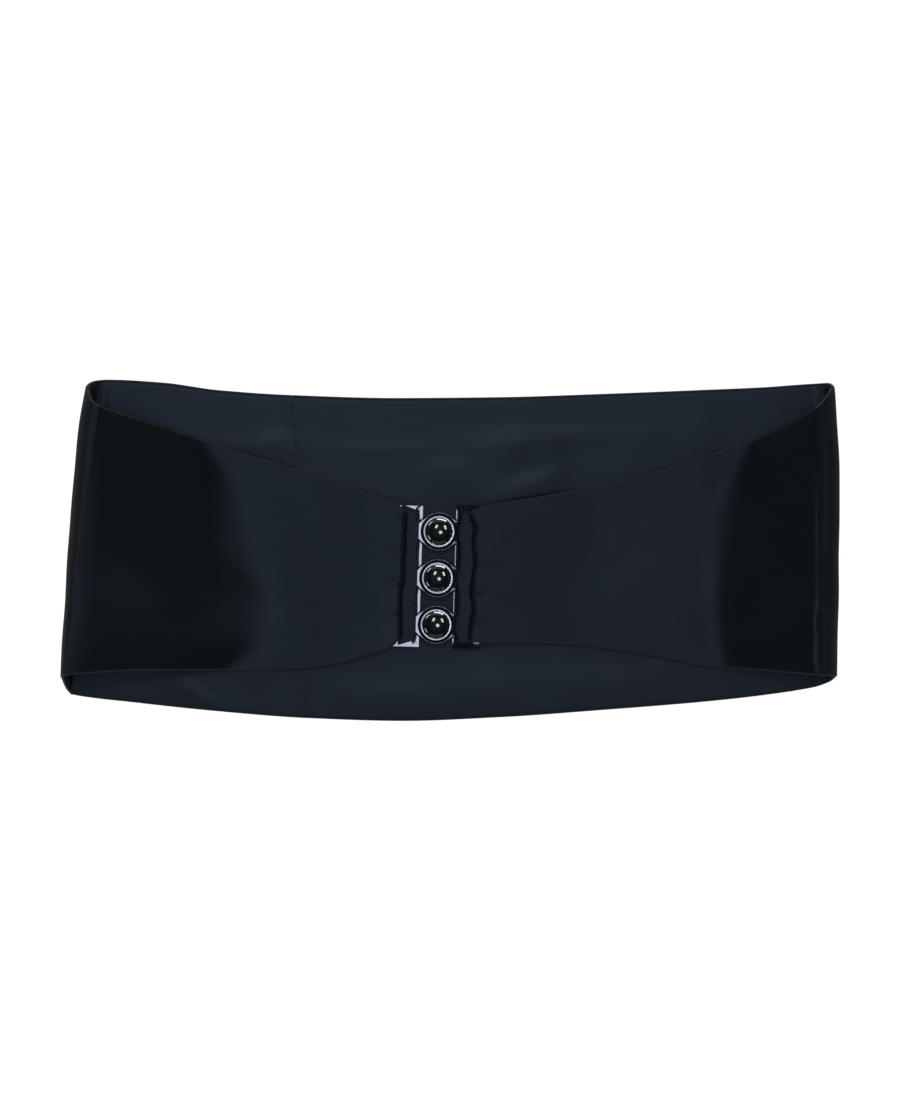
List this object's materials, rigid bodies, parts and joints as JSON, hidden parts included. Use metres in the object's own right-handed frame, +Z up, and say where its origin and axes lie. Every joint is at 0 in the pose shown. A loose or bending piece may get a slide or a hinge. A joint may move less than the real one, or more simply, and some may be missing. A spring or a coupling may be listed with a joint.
{
  "type": "cummerbund",
  "caption": "Wide contoured satin cummerbund, lined, with tapering fronts fastened by an interlocking metal clasp set with round black stones, laid flat on its back.",
  "frame": {"origin": "on the surface that the band lies on, under the middle of its overall box", "axes": "+X along the band's length towards the wearer's left as the picture shows it on the right, +Y towards the band's upper edge, +Z up from the surface, out of the back and through the clasp"},
  "size_m": [0.3702, 0.1638, 0.029],
  "materials": {
    "satin": "near-black midnight satin with a soft sheen",
    "lining_satin": "near-black midnight lining satin",
    "polished_metal": "polished silver-coloured metal",
    "black_stone": "opaque black, highly polished dome"
  },
  "bodies": {
    "root": {"shell_left": "satin", "shell_right": "satin", "lining_left": "lining_satin", "lining_right": "lining_satin", "clasp_frame_left": "polished_metal", "clasp_frame_right": "polished_metal", "setting_top": "polished_metal", "setting_middle": "polished_metal", "setting_bottom": "polished_metal", "stone_top": "black_stone", "stone_middle": "black_stone", "stone_bottom": "black_stone"}
  },
  "joints": []
}
